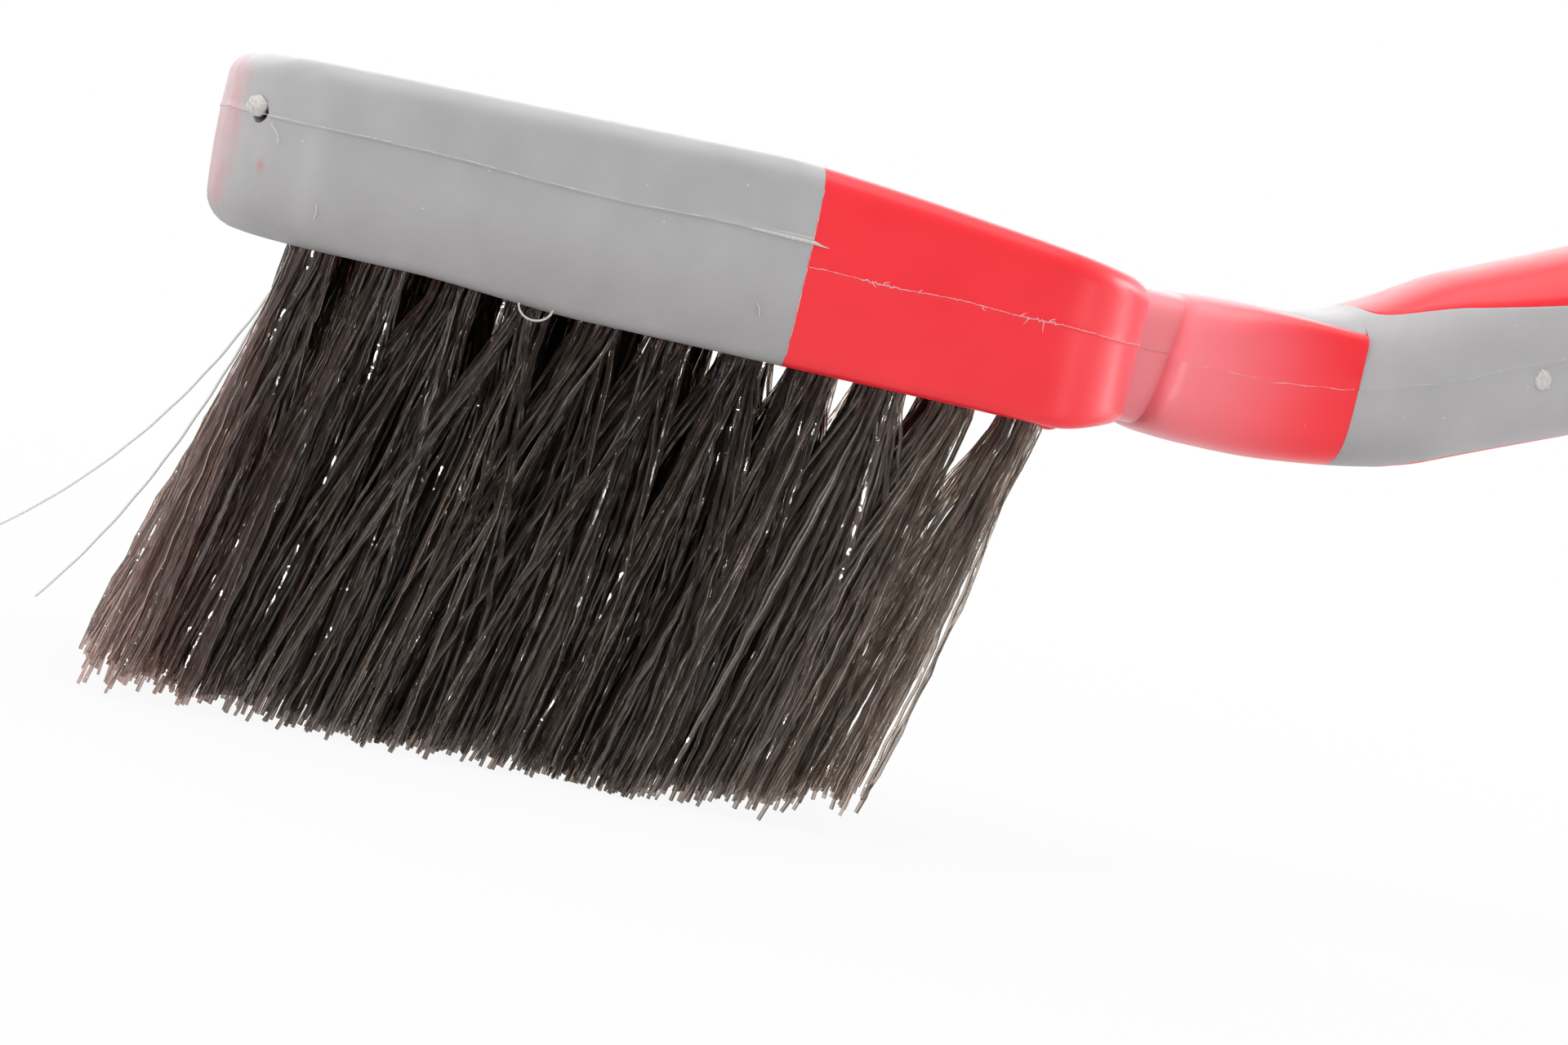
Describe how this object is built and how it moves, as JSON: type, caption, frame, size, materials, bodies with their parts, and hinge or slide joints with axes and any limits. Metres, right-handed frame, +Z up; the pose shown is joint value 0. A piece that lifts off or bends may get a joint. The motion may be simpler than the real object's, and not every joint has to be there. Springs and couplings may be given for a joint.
{
  "type": "bucket brush",
  "caption": "Hand brush with a rounded block head, leaning crimped filament tufts, a soft bumper round the toe and a raised handle with a soft grip.",
  "frame": {"origin": "under the middle of the whole brush, on the surface that the bristle tips stand on", "axes": "+X from the toe of the head to the handle's end, +Y across the head, +Z up out of its back"},
  "size_m": [0.2722, 0.046, 0.0926],
  "materials": {
    "red_plastic": "smooth moulded polypropylene, satin gloss",
    "grey_soft_plastic": "smooth soft thermoplastic elastomer, faintly translucent",
    "dark_filament": "crimped translucent dark brown filament",
    "anchor_steel": "flat galvanised wire"
  },
  "bodies": {
    "root": {"core_body": "red_plastic", "head_bumper": "grey_soft_plastic", "handle_grip": "grey_soft_plastic", "bristle_row_1": "dark_filament", "bristle_row_2": "dark_filament", "bristle_row_3": "dark_filament", "bristle_row_4": "dark_filament", "tuft_anchor_01": "anchor_steel", "tuft_anchor_02": "anchor_steel", "tuft_anchor_03": "anchor_steel", "tuft_anchor_04": "anchor_steel", "tuft_anchor_05": "anchor_steel", "tuft_anchor_06": "anchor_steel", "tuft_anchor_07": "anchor_steel", "tuft_anchor_08": "anchor_steel", "tuft_anchor_09": "anchor_steel", "tuft_anchor_10": "anchor_steel", "tuft_anchor_11": "anchor_steel", "tuft_anchor_12": "anchor_steel", "tuft_anchor_13": "anchor_steel", "tuft_anchor_14": "anchor_steel", "tuft_anchor_15": "anchor_steel", "tuft_anchor_16": "anchor_steel", "tuft_anchor_17": "anchor_steel", "tuft_anchor_18": "anchor_steel", "tuft_anchor_19": "anchor_steel", "tuft_anchor_20": "anchor_steel", "tuft_anchor_21": "anchor_steel", "tuft_anchor_22": "anchor_steel", "tuft_anchor_23": "anchor_steel", "tuft_anchor_24": "anchor_steel", "tuft_anchor_25": "anchor_steel", "tuft_anchor_26": "anchor_steel", "tuft_anchor_27": "anchor_steel", "tuft_anchor_28": "anchor_steel", "tuft_anchor_29": "anchor_steel", "tuft_anchor_30": "anchor_steel", "tuft_anchor_31": "anchor_steel", "tuft_anchor_32": "anchor_steel", "tuft_anchor_33": "anchor_steel", "tuft_anchor_34": "anchor_steel", "tuft_anchor_35": "anchor_steel", "tuft_anchor_36": "anchor_steel", "tuft_anchor_37": "anchor_steel", "tuft_anchor_38": "anchor_steel", "tuft_anchor_39": "anchor_steel", "tuft_anchor_40": "anchor_steel", "tuft_anchor_41": "anchor_steel"}
  },
  "joints": []
}
